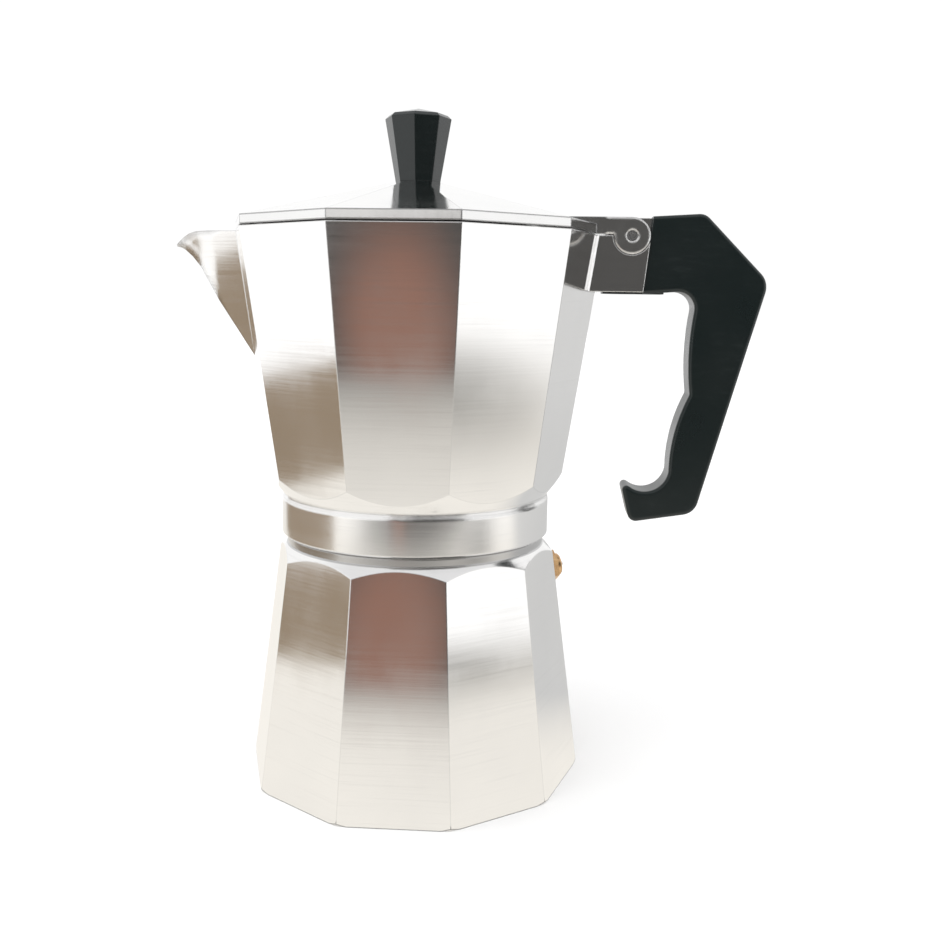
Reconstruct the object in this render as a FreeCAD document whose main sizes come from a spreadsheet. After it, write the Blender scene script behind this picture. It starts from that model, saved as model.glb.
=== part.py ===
import FreeCAD, Part
import math
import os
import re
import Sketcher
from FreeCAD import Placement, Rotation, Vector

# A ten-sided stove-top coffee maker in cast aluminium with a black plastic handle and knob.
# Millimetres. +Z is up from the foot, which stands on Z = 0, and the pot's axis is the Z axis.
# The handle and lid hinge point to +X, the spout to -X, and corners of the ten-sided walls lie on X.

NAME = "moka_pot"

# ----------------------------------------------------------------------------------------------
# Driving dimensions, one spreadsheet cell each
# ----------------------------------------------------------------------------------------------

DIMENSIONS = {
    # ten-sided walls
    "side_count": 10,
    # boiler, outside
    "foot_radius": 51.7,
    "boiler_base_radius": 52.56,
    "boiler_waist_radius": 42.4,
    "neck_ring_radius": 39.7,
    "shoulder_top_z": 72.9,
    "neck_ring_z": 75.3,
    "thread_radius": 37.9,
    "thread_depth": 0.7,
    "thread_pitch": 2.6,
    "thread_turns": 4,
    "lip_radius": 36.9,
    "lip_z": 87.0,
    # length of cutters that pass right through a wall
    "through_length": 20.0,
    # boiler, inside
    "boiler_wall": 3.2,
    "boiler_floor": 3.6,
    "boiler_room_radius": 49.2,
    "neck_bore_radius": 34.2,
    # safety valve, along its own axis from the boiler's outer face
    "valve_azimuth": 18.0,
    "valve_height": 61.0,
    "valve_shank_radius": 4.0,
    "valve_shank_depth": 5.4,
    "valve_seal_radius": 5.4,
    "valve_seal_thickness": 0.8,
    "valve_hex_radius": 5.1,
    "valve_hex_top": 4.4,
    "valve_nose_radius": 3.6,
    "valve_nose_top": 6.0,
    "valve_bore_radius": 2.6,
    "valve_seat_radius": 1.4,
    "valve_seat_depth": 3.8,
    "valve_stem_radius": 0.8,
    "valve_stem_top": 7.1,
    "valve_disc_radius": 2.3,
    "valve_disc_thickness": 1.0,
    "valve_cap_thickness": 1.0,
    "valve_spring_radius": 1.7,
    "valve_wire_radius": 0.25,
    # coffee funnel
    "basket_radius": 33.8,
    "basket_wall": 0.8,
    "basket_floor_z": 61.0,
    "basket_flange_radius": 36.7,
    "cone_bottom_z": 50.0,
    "stem_radius": 4.6,
    "stem_bore_radius": 3.9,
    "stem_foot_z": 7.5,
    "sieve_thickness": 0.7,
    "sieve_hole_radius": 0.9,
    # gasket and filter plate
    "gasket_radius": 36.4,
    "gasket_bore_radius": 28.2,
    "gasket_bottom_z": 87.9,
    "gasket_top_z": 91.2,
    "plate_radius": 31.5,
    "plate_thickness": 0.8,
    "plate_hole_radius": 0.9,
    # upper chamber, outside
    "collar_radius": 41.25,
    "collar_bottom_z": 75.6,
    "collar_top_z": 87.8,
    "chamber_base_z": 87.2,
    "chamber_base_radius": 44.35,
    "chamber_rim_radius": 56.2,
    "rim_z": 166.0,
    # upper chamber, inside
    "chamber_wall": 2.75,
    "chamber_floor_z": 98.5,
    "chamber_ceiling_z": 95.2,
    "thread_bore_radius": 38.3,
    "gasket_recess_radius": 36.8,
    "plate_recess_radius": 31.9,
    # coffee column
    "column_spigot_radius": 6.2,
    "column_skirt_radius": 12.5,
    "column_radius": 5.2,
    "column_bore_radius": 3.2,
    "column_top_z": 150.0,
    "column_window_width": 4.2,
    "column_window_bottom_z": 137.0,
    "column_window_top_z": 145.0,
    # spout
    "spout_tip_x": 74.1,
    "spout_tip_z": 161.75,
    "spout_bend_x": 66.9,
    "spout_bend_z": 155.8,
    "spout_throat_x": 61.4,
    "spout_throat_z": 145.7,
    "spout_root_x": 49.5,
    "spout_root_z": 127.2,
    "spout_root_half_width": 11.5,
    "spout_wall": 2.2,
    # handle lug and hinge
    "lug_half_width": 8.0,
    "lug_bottom_z": 149.8,
    "lug_end_low_x": 67.45,
    "lug_end_top_x": 69.7,
    "lug_fillet": 1.6,
    "channel_half_width": 5.3,
    "channel_top_z": 156.2,
    "hinge_x": 63.7,
    "hinge_z": 166.0,
    "ear_radius": 5.3,
    "ear_inner_half_width": 4.6,
    "web_half_width": 4.3,
    "web_nose_radius": 7.0,
    "pocket_radius": 5.55,
    "pin_radius": 1.5,
    "pin_clearance": 0.07,
    # lid
    "lid_radius": 55.9,
    "lid_bottom_z": 166.45,
    "lid_rim_z": 169.1,
    "lid_wall": 1.8,
    "lid_seat_radius": 7.2,
    "lid_seat_z": 181.2,
    # knob and its fasteners
    "knob_side_count": 8,
    "knob_base_radius": 6.7,
    "knob_top_radius": 9.9,
    "knob_shoulder_z": 199.5,
    "knob_crown_radius": 8.8,
    "knob_crown_z": 200.5,
    "knob_apex_z": 202.5,
    "knob_bore_depth": 10.0,
    "knob_screw_radius": 2.0,
    "knob_screw_head_radius": 3.4,
    "knob_screw_head_height": 2.2,
    "knob_washer_radius": 4.6,
    "knob_washer_thickness": 0.7,
    # handle outline, in the plane of the handle
    "handle_half_width": 6.4,
    "handle_gap": 0.1,
    "handle_top_z": 171.75,
    "handle_back_x": 84.85,
    "handle_back_z": 172.65,
    "elbow_x": 104.1,
    "elbow_z": 153.3,
    "heel_x": 85.75,
    "heel_z": 83.8,
    "toe_x": 66.2,
    "toe_z": 80.55,
    "hook_tip_x": 63.0,
    "hook_tip_z": 93.2,
    "hook_throat_x": 71.7,
    "hook_throat_z": 90.3,
    "hook_end_x": 77.4,
    "hook_end_z": 96.4,
    "lower_swell_x": 78.7,
    "lower_swell_z": 108.8,
    "notch_x": 82.6,
    "notch_z": 119.8,
    "upper_swell_x": 81.8,
    "upper_swell_z": 132.0,
    "armpit_x": 84.0,
    "armpit_z": 150.6,
    "arm_bottom_z": 149.3,
    "back_radius": 4.0,
    "elbow_radius": 5.8,
    "heel_radius": 5.2,
    "toe_radius": 2.6,
    "hook_tip_radius": 1.3,
    "hook_end_radius": 3.0,
    "notch_radius": 1.8,
    "armpit_radius": 5.0,
    "handle_edge_radius": 1.1,
    # tongue that the lug's channel holds, and its screw
    "tongue_half_width": 5.1,
    "tongue_start_x": 55.8,
    "tongue_bottom_z": 149.3,
    "tongue_top_z": 156.0,
    "handle_screw_x": 61.0,
    "handle_screw_radius": 2.0,
    "handle_screw_head_radius": 3.6,
    "handle_screw_head_height": 2.4,
    "handle_screw_recess": 3.4,
    "handle_screw_top_z": 160.6,
}

document = FreeCAD.newDocument(NAME)
sheet = document.addObject("Spreadsheet::Sheet", "Sheet")
for row, (alias, number) in enumerate(DIMENSIONS.items(), 1):
    sheet.set(f"A{row}", alias)
    sheet.set(f"B{row}", str(number))
    sheet.setAlias(f"B{row}", alias)
document.recompute()

nodes = []


# ----------------------------------------------------------------------------------------------
# Helpers
# ----------------------------------------------------------------------------------------------

def bound(expression):
    """The expression with every sheet alias written as Sheet.alias, for setExpression."""
    def prefixed(match):
        word = match.group()
        return "Sheet." + word if word in DIMENSIONS else word
    return re.sub(r"[a-z_]+", prefixed, str(expression))


def size(expression):
    """The expression's present value, in millimetres or degrees."""
    return float(sheet.evalExpression(bound(expression)))


def bind(item, **expressions):
    """Bind properties of a document object to the sheet; __ in a keyword stands for a dot."""
    for name, expression in expressions.items():
        item.setExpression(name.replace("__", "."), bound(expression))
    return item


def keep(item, label):
    """Make a finished object the sub-part of this name."""
    item.Label = label
    nodes.append(item)


def new_body(name):
    return document.addObject("PartDesign::Body", name)


def origin_plane(body, role):
    return next(plane for plane in body.Origin.OriginFeatures if plane.Role == role)


def new_sketch(body, name, role):
    sketch = body.newObject("Sketcher::SketchObject", name)
    sketch.AttachmentSupport = [(origin_plane(body, role), "")]
    sketch.MapMode = "FlatFace"
    return sketch


def pin_point(sketch, geometry, end, x, y):
    """Hold one sketch point at two bound coordinates."""
    for kind, expression in (("DistanceX", x), ("DistanceY", y)):
        constraint = Sketcher.Constraint(kind, -1, 1, geometry, end, size(expression))
        index = sketch.addConstraint(constraint)
        sketch.setExpression(f"Constraints[{index}]", bound(expression))


def draw_outline(sketch, outline):
    """Closed outline of corners (x, y); a corner (x, y, via_x, via_y) starts an arc through via."""
    points = [Vector(size(corner[0]), size(corner[1]), 0) for corner in outline]
    for number, corner in enumerate(outline):
        start = points[number]
        finish = points[(number + 1) % len(points)]
        if len(corner) == 2:
            edge = sketch.addGeometry(Part.LineSegment(start, finish), False)
            pin_point(sketch, edge, 1, corner[0], corner[1])
            continue
        via = Vector(size(corner[2]), size(corner[3]), 0)
        edge = sketch.addGeometry(Part.Arc(start, via, finish), False)
        through = sketch.addGeometry(Part.Point(via), True)
        sketch.addConstraint(Sketcher.Constraint("PointOnObject", through, 1, edge))
        pin_point(sketch, through, 1, corner[2], corner[3])
        first_end = 1 if sketch.getPoint(edge, 1).distanceToPoint(start) < 1e-6 else 2
        pin_point(sketch, edge, first_end, corner[0], corner[1])
    join_corners(sketch, points)


def join_corners(sketch, points):
    """Make the ends of neighbouring edges coincide at every corner."""
    for point in points:
        ends = [
            (index, end)
            for index, geometry in enumerate(sketch.Geometry)
            if not sketch.getConstruction(index)
            for end in (1, 2)
            if sketch.getPoint(index, end).distanceToPoint(point) < 1e-6
        ]
        sketch.addConstraint(Sketcher.Constraint("Coincident", *ends[0], *ends[1]))


def turned(name, outline):
    """A body turned about Z from an outline of (radius, height)."""
    body = new_body(name)
    sketch = new_sketch(body, name + "_profile", "XZ_Plane")
    draw_outline(sketch, outline)
    revolution = body.newObject("PartDesign::Revolution", name + "_turning")
    revolution.Profile = sketch
    revolution.ReferenceAxis = (sketch, ["V_Axis"])
    revolution.Angle = 360
    document.recompute()
    return body


def slab(name, outline, half_width):
    """A body with an outline of (x, z), padded to both sides of the plane of the handle."""
    body = new_body(name)
    sketch = new_sketch(body, name + "_outline", "XZ_Plane")
    draw_outline(sketch, outline)
    pad = body.newObject("PartDesign::Pad", name + "_pad")
    pad.Profile = sketch
    pad.Midplane = True
    bind(pad, Length=f"2 * ({half_width})")
    document.recompute()
    return body


def round_holes(body, name, centres, radius, depth, start):
    """Pocket round holes (x, y) in a body, upwards from the height start."""
    sketch = new_sketch(body, name + "_circles", "XY_Plane")
    bind(sketch, AttachmentOffset__Base__z=start)
    for x, y in centres:
        circle = sketch.addGeometry(Part.Circle(Vector(x, y, 0), Vector(0, 0, 1), size(radius)), False)
        index = sketch.addConstraint(Sketcher.Constraint("Radius", circle, size(radius)))
        sketch.setExpression(f"Constraints[{index}]", bound(radius))
    pocket = body.newObject("PartDesign::Pocket", name)
    pocket.Profile = sketch
    pocket.Reversed = True
    bind(pocket, Length=depth)
    before = body.Shape.Volume
    document.recompute()
    if body.Shape.Volume >= before:
        raise RuntimeError(f"{name} cuts nothing")


def polygon(name, sides, radius, height):
    """A level regular polygon with one corner on +X."""
    ring = document.addObject("Part::RegularPolygon", name)
    return bind(ring, Polygon=sides, Circumradius=radius, Placement__Base__z=height)


def frustum(name, sides, rings):
    """Straight-sided loft through level polygons, each a (radius, height)."""
    sections = [
        polygon(f"{name}_ring_{number}", sides, radius, height)
        for number, (radius, height) in enumerate(rings)
    ]
    loft = document.addObject("Part::Loft", name)
    loft.Sections = sections
    loft.Solid = True
    loft.Ruled = True
    return loft


def common(name, first, second):
    result = document.addObject("Part::Common", name)
    result.Base = first
    result.Tool = second
    return result


def cut(name, base, tool):
    result = document.addObject("Part::Cut", name)
    result.Base = base
    result.Tool = tool
    return result


def fuse(name, pieces):
    result = document.addObject("Part::MultiFuse", name)
    result.Shapes = pieces
    result.Refine = True
    return result


def cylinder(name, radius, length, **place):
    """Upright cylinder; x, y and z are expressions for its bottom centre."""
    result = document.addObject("Part::Cylinder", name)
    bind(result, Radius=radius, Height=length)
    for axis, expression in place.items():
        result.setExpression(f"Placement.Base.{axis}", bound(expression))
    return result


def cross_cylinder(name, radius, half_length, x, z):
    """Cylinder along Y, centred on the plane of the handle."""
    result = document.addObject("Part::Cylinder", name)
    result.Placement = Placement(Vector(0, 0, 0), Rotation(Vector(1, 0, 0), 90))
    bind(result, Radius=radius, Height=f"2 * ({half_length})")
    bind(result, Placement__Base__x=x, Placement__Base__y=half_length, Placement__Base__z=z)
    return result


def box(name, x, y, z):
    """Box between two expressions along each axis."""
    result = document.addObject("Part::Box", name)
    bind(result, Length=f"({x[1]}) - ({x[0]})", Width=f"({y[1]}) - ({y[0]})")
    bind(result, Height=f"({z[1]}) - ({z[0]})")
    return bind(result, Placement__Base__x=x[0], Placement__Base__y=y[0], Placement__Base__z=z[0])


def edge_names(shape, wanted):
    return [f"Edge{number}" for number, edge in enumerate(shape.Edges, 1) if wanted(edge)]


def fillet_body(body, name, radius, wanted):
    """PartDesign fillet on the body's edges that wanted() picks."""
    base = body.Tip
    feature = body.newObject("PartDesign::Fillet", name)
    feature.Base = (base, edge_names(base.Shape, wanted))
    bind(feature, Radius=radius)
    document.recompute()


def hole_circles(rows, pitch):
    """Centres of a middle hole and of concentric rings of evenly spaced holes."""
    centres = [(0.0, 0.0)]
    for ring in range(1, rows + 1):
        radius = ring * pitch
        count = int(2 * math.pi * radius / pitch)
        for number in range(count):
            angle = 2 * math.pi * number / count
            centres.append((radius * math.cos(angle), radius * math.sin(angle)))
    return centres


# ----------------------------------------------------------------------------------------------
# Boiler
# ----------------------------------------------------------------------------------------------

def boiler_radius(height):
    """Expression for the ten-sided outer corner radius of the boiler at a height."""
    return (
        f"(boiler_base_radius - (boiler_base_radius - boiler_waist_radius)"
        f" * ({height}) / neck_ring_z)"
    )


def make_boiler():
    walls = frustum("boiler_walls", "side_count", [
        ("boiler_base_radius", "0"),
        ("boiler_waist_radius", "neck_ring_z"),
    ])
    # The shoulder and the corners of the foot are turned at 45 degrees.
    envelope = turned("boiler_turning", [
        ("0", "0"),
        ("foot_radius", "0"),
        ("foot_radius + 8", "8"),
        ("foot_radius + 8", "shoulder_top_z - (foot_radius + 8 - neck_ring_radius)"),
        ("neck_ring_radius", "shoulder_top_z"),
        ("0", "shoulder_top_z"),
    ])
    thread_outline = [
        ("0", "shoulder_top_z - 4"),
        ("neck_ring_radius", "shoulder_top_z - 4"),
        ("neck_ring_radius", "neck_ring_z - 0.3"),
        ("neck_ring_radius - 0.3", "neck_ring_z"),
    ]
    for turn in range(int(size("thread_turns"))):
        foot = f"neck_ring_z + 0.6 + {turn} * thread_pitch"
        thread_outline += [
            ("thread_radius - thread_depth", foot),
            ("thread_radius", f"{foot} + thread_pitch * 0.35"),
            ("thread_radius", f"{foot} + thread_pitch * 0.55"),
        ]
    thread_outline += [
        ("thread_radius - thread_depth", "neck_ring_z + 0.6 + thread_turns * thread_pitch"),
        ("lip_radius", "lip_z - 0.3"),
        ("lip_radius - 0.3", "lip_z"),
        ("0", "lip_z"),
    ]
    neck = turned("boiler_neck", thread_outline)
    outside = fuse("boiler_outside", [common("boiler_facets", walls, envelope), neck])

    hollow = frustum("boiler_hollow", "side_count", [
        ("boiler_base_radius - boiler_wall", "0"),
        ("boiler_waist_radius - boiler_wall", "neck_ring_z"),
    ])
    hollow_limit = turned("boiler_hollow_turning", [
        ("0", "boiler_floor"),
        ("boiler_room_radius - 5", "boiler_floor"),
        ("boiler_room_radius", "boiler_floor + 5"),
        ("boiler_room_radius", "shoulder_top_z - (boiler_room_radius - neck_bore_radius) * 0.9"),
        ("neck_bore_radius", "shoulder_top_z"),
        ("0", "shoulder_top_z"),
    ])
    neck_bore = cylinder(
        "boiler_neck_bore", "neck_bore_radius", "through_length", z="shoulder_top_z - 4",
    )
    inside = fuse("boiler_inside", [common("boiler_room", hollow, hollow_limit), neck_bore])

    valve_bore = cylinder("valve_wall_bore", "valve_shank_radius", "through_length")
    valve_bore.Placement = valve_placement(size("through_length") / -2)
    shell = cut("boiler_shell", outside, inside)
    keep(cut("boiler_body", shell, valve_bore), "boiler_body")


# ----------------------------------------------------------------------------------------------
# Safety valve, built along +Z from the boiler's outer face and turned onto the facet's normal
# ----------------------------------------------------------------------------------------------

def valve_placement(offset=0.0):
    """Placement on the facet, +Z along its outward normal, moved outwards by offset."""
    half_side = math.pi / size("side_count")
    lean = math.atan((size("boiler_base_radius") - size("boiler_waist_radius"))
                     * math.cos(half_side) / size("neck_ring_z"))
    azimuth = math.radians(size("valve_azimuth"))
    apothem = size(boiler_radius("valve_height")) * math.cos(half_side)
    normal = Vector(
        math.cos(lean) * math.cos(azimuth),
        math.cos(lean) * math.sin(azimuth),
        math.sin(lean),
    )
    foot = Vector(apothem * math.cos(azimuth), apothem * math.sin(azimuth), size("valve_height"))
    turn = Rotation(Vector(0, 0, 1), math.degrees(azimuth))
    tilt = Rotation(Vector(0, 1, 0), 90 - math.degrees(lean))
    return Placement(foot + normal * offset, turn.multiply(tilt))


def make_valve():
    seal = turned("valve_seal_ring", [
        ("valve_shank_radius", "0"),
        ("valve_seal_radius", "0"),
        ("valve_seal_radius", "valve_seal_thickness"),
        ("valve_shank_radius", "valve_seal_thickness"),
    ])
    seal.Placement = valve_placement()
    keep(seal, "valve_seal")

    shank = turned("valve_shank", [
        ("0", "0 - valve_shank_depth"),
        ("valve_shank_radius - 0.4", "0 - valve_shank_depth"),
        ("valve_shank_radius", "0.4 - valve_shank_depth"),
        ("valve_shank_radius", "valve_hex_top"),
        ("valve_nose_radius", "valve_hex_top"),
        ("valve_nose_radius", "valve_nose_top - 0.5"),
        ("valve_nose_radius - 0.5", "valve_nose_top"),
        ("0", "valve_nose_top"),
    ])
    hexagon = frustum("valve_hexagon", "6", [
        ("valve_hex_radius", "valve_seal_thickness"),
        ("valve_hex_radius", "valve_hex_top"),
    ])
    bore = turned("valve_bore", [
        ("0", "0 - valve_shank_depth - 1"),
        ("valve_seat_radius", "0 - valve_shank_depth - 1"),
        ("valve_seat_radius", "0 - valve_seat_depth"),
        ("valve_bore_radius", "0 - valve_seat_depth"),
        ("valve_bore_radius", "valve_nose_top + 1"),
        ("0", "valve_nose_top + 1"),
    ])
    body = cut("valve_body", fuse("valve_blank", [shank, hexagon]), bore)
    body.Placement = valve_placement()
    keep(body, "valve_body")

    cap = turned("valve_cap_ring", [
        ("valve_stem_radius + 0.25", "valve_nose_top - 0.3 - valve_cap_thickness"),
        ("valve_bore_radius", "valve_nose_top - 0.3 - valve_cap_thickness"),
        ("valve_bore_radius", "valve_nose_top - 0.3"),
        ("valve_stem_radius + 0.25", "valve_nose_top - 0.3"),
    ])
    cap.Placement = valve_placement()
    keep(cap, "valve_cap")

    plunger = turned("valve_plunger_pin", [
        ("0", "0.02 - valve_seat_depth"),
        ("valve_disc_radius", "0.02 - valve_seat_depth"),
        ("valve_disc_radius", "valve_disc_thickness - valve_seat_depth"),
        ("valve_stem_radius", "valve_disc_thickness - valve_seat_depth"),
        ("valve_stem_radius", "valve_stem_top - 0.3"),
        ("valve_stem_radius - 0.3", "valve_stem_top"),
        ("0", "valve_stem_top"),
    ])
    plunger.Placement = valve_placement()
    keep(plunger, "valve_plunger")

    spring = new_body("valve_spring_wire")
    wire = new_sketch(spring, "valve_spring_section", "XZ_Plane")
    lowest = "(valve_disc_thickness - valve_seat_depth + valve_wire_radius + 0.05)"
    centre = Vector(size("valve_spring_radius"), size(lowest), 0)
    circle = Part.Circle(centre, Vector(0, 0, 1), size("valve_wire_radius"))
    section = wire.addGeometry(circle, False)
    pin_point(wire, section, 3, "valve_spring_radius", lowest)
    index = wire.addConstraint(Sketcher.Constraint("Radius", section, size("valve_wire_radius")))
    wire.setExpression(f"Constraints[{index}]", bound("valve_wire_radius"))
    coil = spring.newObject("PartDesign::AdditiveHelix", "valve_spring_coil")
    coil.Profile = wire
    coil.ReferenceAxis = (wire, ["V_Axis"])
    coil.Mode = "height-turns-angle"
    coil.Turns = 5
    bind(coil, Height=(
        f"valve_nose_top - 0.3 - valve_cap_thickness - valve_wire_radius - 0.05 - {lowest}"
    ))
    document.recompute()
    spring.Placement = valve_placement()
    keep(spring, "valve_spring")


# ----------------------------------------------------------------------------------------------
# Coffee funnel
# ----------------------------------------------------------------------------------------------

def make_funnel():
    basket = turned("funnel_basket_sheet", [
        ("stem_radius", "cone_bottom_z - 3"),
        ("stem_radius + basket_wall", "cone_bottom_z - 3"),
        ("stem_radius + basket_wall", "cone_bottom_z"),
        ("basket_radius - 3", "basket_floor_z - 4"),
        ("basket_radius", "basket_floor_z"),
        ("basket_radius", "lip_z + 0.05"),
        ("basket_flange_radius", "lip_z + 0.05"),
        ("basket_flange_radius", "lip_z + basket_wall"),
        ("basket_radius - basket_wall", "lip_z + basket_wall"),
        ("basket_radius - basket_wall", "basket_floor_z"),
        ("basket_radius - 3 - basket_wall", "basket_floor_z"),
        ("basket_radius - 3 - basket_wall", "basket_floor_z - 3"),
        ("stem_radius", "cone_bottom_z + basket_wall"),
    ])
    keep(basket, "funnel_basket")

    stem = turned("funnel_stem_tube", [
        ("stem_bore_radius", "stem_foot_z"),
        ("stem_radius", "stem_foot_z"),
        ("stem_radius", "cone_bottom_z + basket_wall"),
        ("stem_bore_radius", "cone_bottom_z + basket_wall"),
    ])
    keep(stem, "funnel_stem")

    sieve = turned("basket_sieve_disc", [
        ("0", "basket_floor_z"),
        ("basket_radius - basket_wall - 0.2", "basket_floor_z"),
        ("basket_radius - basket_wall - 0.2", "basket_floor_z + sieve_thickness"),
        ("0", "basket_floor_z + sieve_thickness"),
    ])
    centres = hole_circles(6, 4.2)
    round_holes(sieve, "sieve_holes", centres, "sieve_hole_radius", "3", "basket_floor_z - 1")
    keep(sieve, "basket_sieve")


# ----------------------------------------------------------------------------------------------
# Gasket and filter plate
# ----------------------------------------------------------------------------------------------

def make_seal():
    gasket = turned("gasket_ring", [
        ("gasket_bore_radius", "gasket_bottom_z"),
        ("gasket_radius", "gasket_bottom_z"),
        ("gasket_radius", "gasket_top_z"),
        ("gasket_bore_radius", "gasket_top_z"),
    ])
    keep(gasket, "gasket")

    plate = turned("filter_plate_disc", [
        ("0", "gasket_top_z + 0.02"),
        ("plate_radius", "gasket_top_z + 0.02"),
        ("plate_radius", "gasket_top_z + plate_thickness"),
        ("0", "gasket_top_z + plate_thickness"),
    ])
    centres = hole_circles(6, 4.0)
    round_holes(plate, "plate_holes", centres, "plate_hole_radius", "3", "gasket_top_z - 1")
    keep(plate, "filter_plate")


# ----------------------------------------------------------------------------------------------
# Upper chamber with collar, spout and handle lug
# ----------------------------------------------------------------------------------------------

def chamber_radius(height):
    """Expression for the ten-sided outer corner radius of the chamber at a height."""
    return (
        f"(chamber_base_radius + (chamber_rim_radius - chamber_base_radius)"
        f" * (({height}) - chamber_base_z) / (rim_z - chamber_base_z))"
    )


def spout_loft(name, wall, rise):
    """The beak lofted through upright V sections; wall thins them inwards, rise opens the top."""
    # Each station is (distance from the axis, keel height, top height, half width at the top).
    stations = [
        ("spout_tip_x", "spout_tip_z", "rim_z - 3.7", "0.35"),
        ("spout_tip_x - 1.3", "spout_tip_z - 0.3", "rim_z - 2.5", "0.95"),
        ("spout_tip_x - 2.7", "spout_tip_z - 1.05", "rim_z - 1.5", "1.65"),
        ("spout_tip_x - 4.8", "spout_tip_z - 2.95", "rim_z - 0.4", "2.7"),
        ("spout_bend_x", "spout_bend_z", "rim_z + 0.2", "3.7"),
        ("spout_throat_x", "spout_throat_z", "rim_z + 0.3", "6.2"),
        ("spout_root_x", "spout_root_z", "rim_z", "spout_root_half_width"),
        ("spout_root_x - 4", "spout_root_z", "rim_z", "spout_root_half_width"),
    ]
    sections = []
    for number, (reach, keel, top, half_width) in enumerate(stations):
        body = new_body(f"{name}_station_{number}")
        sketch = new_sketch(body, f"{name}_section_{number}", "YZ_Plane")
        bind(sketch, AttachmentOffset__Base__z=f"0 - ({reach})")
        flare = f"(({half_width}) / (({top}) - ({keel})))"
        side = f"({wall}) * ({half_width}) / (({half_width}) + 2.5)"
        width = f"(({half_width}) - {side} + {flare} * ({rise}))"
        draw_outline(sketch, [
            ("0", f"({keel}) + {side} / {flare}"),
            (width, f"({top}) + ({rise})"),
            (f"0 - {width}", f"({top}) + ({rise})"),
        ])
        sections.append(sketch)
    document.recompute()
    loft = document.addObject("Part::Loft", name)
    loft.Sections = sections
    loft.Solid = True
    loft.Ruled = True
    return loft


def lug_end(height):
    """Expression for where the leaning end of the lug is along X at a height."""
    return (
        f"(lug_end_low_x + (lug_end_top_x - lug_end_low_x) * (({height}) - lug_bottom_z)"
        f" / (hinge_z + ear_radius - lug_bottom_z))"
    )


def make_lug():
    """Cast lug at the +X corner: channel for the handle below, hinge web above."""
    block = slab("lug_block", [
        ("lug_end_low_x - 22", "lug_bottom_z"),
        (lug_end("lug_bottom_z"), "lug_bottom_z"),
        (lug_end("rim_z"), "rim_z"),
        ("lug_end_low_x - 22", "rim_z"),
    ], "lug_half_width")
    web = slab("lug_web", [
        ("chamber_rim_radius + 0.6", "rim_z - 6"),
        (lug_end("rim_z - 6"), "rim_z - 6"),
        (lug_end("hinge_z + ear_radius"), "hinge_z + ear_radius"),
        ("chamber_rim_radius + 0.6", "hinge_z + ear_radius"),
    ], "web_half_width")
    nose = cross_cylinder("web_nose", "web_nose_radius", "web_half_width", "hinge_x", "hinge_z")
    nose_back = box(
        "web_back", ("hinge_x", "lug_end_top_x + 1"), ("0 - web_half_width", "web_half_width"),
        ("rim_z - 8", "rim_z + 8"),
    )
    rounded_web = common("lug_rounded_web", web, fuse("web_limit", [nose, nose_back]))
    return fuse("lug_solid", [block, rounded_web])


def ear_clearance(name, low_y, high_y):
    """Room for one lid ear beside the web."""
    drum = document.addObject("Part::Cylinder", name + "_drum")
    drum.Placement = Placement(Vector(0, 0, 0), Rotation(Vector(1, 0, 0), 90))
    bind(drum, Radius="pocket_radius", Height=f"({high_y}) - ({low_y})")
    bind(drum, Placement__Base__x="hinge_x", Placement__Base__y=high_y, Placement__Base__z="hinge_z")
    return drum


def is_lug_root(edge):
    """Picks the edges where the lug's sides meet the wall's facets."""
    side = size("lug_half_width")
    ends = [vertex.Point for vertex in edge.Vertexes]
    return len(ends) == 2 and all(
        abs(abs(end.y) - side) < 0.01 and 0 < end.x < size("chamber_rim_radius") for end in ends
    )


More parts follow.
